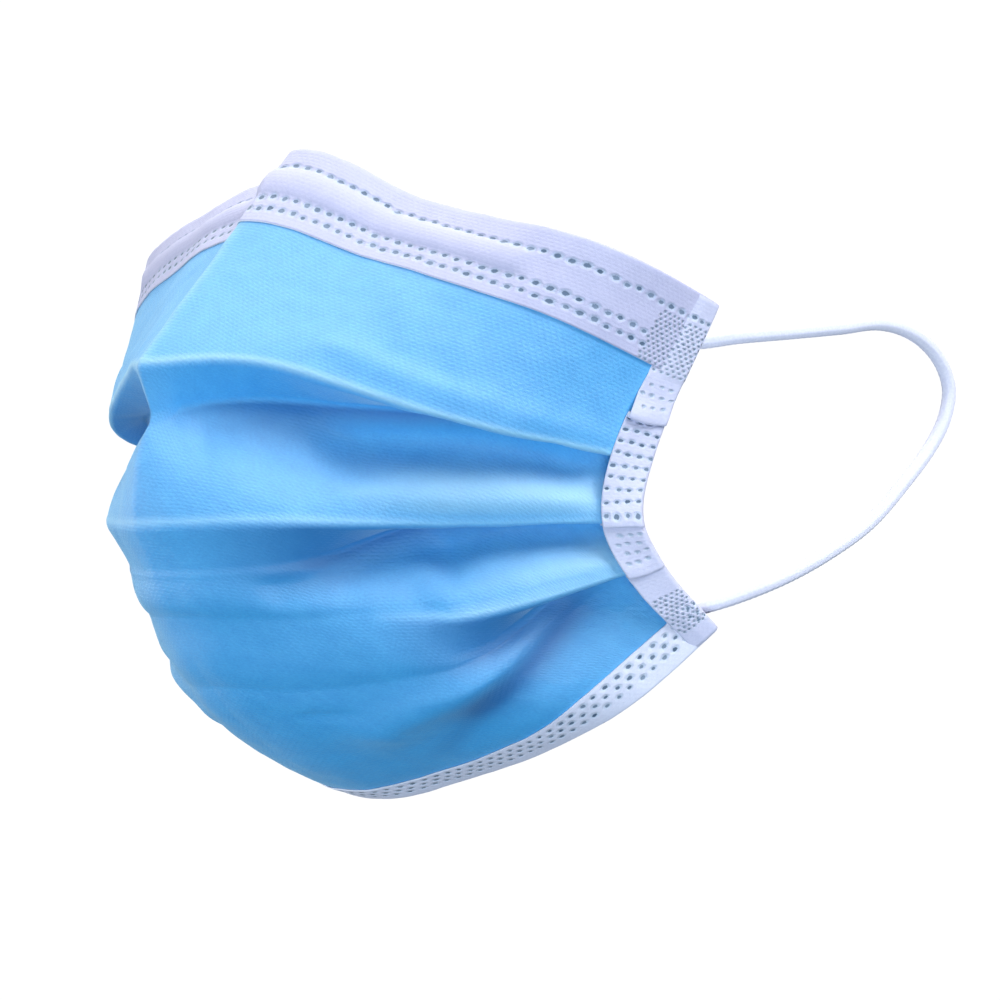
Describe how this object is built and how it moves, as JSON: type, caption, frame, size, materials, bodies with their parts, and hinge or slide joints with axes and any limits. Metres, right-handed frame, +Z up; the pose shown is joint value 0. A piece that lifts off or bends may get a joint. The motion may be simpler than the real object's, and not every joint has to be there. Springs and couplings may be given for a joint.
{
  "type": "surgical face mask",
  "caption": "Pleated surgical face mask in its worn shape, with white hems, a nose wire in a channel, bound sides and round elastic ear loops.",
  "frame": {"origin": "middle of the top edge, where the mask sits on the bridge of the nose", "axes": "+X to the wearer's left along the width, +Y back towards the face, +Z up"},
  "size_m": [0.1596, 0.1297, 0.1218],
  "materials": {
    "face_panel": "light blue spunbond nonwoven outside, white inside",
    "hem": "white spunbond nonwoven with weld dots",
    "binding": "white spunbond nonwoven with weld dots",
    "nose_wire": "plastic-coated wire, matte",
    "ear_loop": "white knitted elastic cord"
  },
  "bodies": {
    "root": {"face_panel": "face_panel", "top_hem": "hem", "bottom_hem": "hem", "nose_wire": "nose_wire", "side_binding_left": "binding", "side_binding_right": "binding", "ear_loop_left": "ear_loop", "ear_loop_right": "ear_loop"}
  },
  "joints": []
}
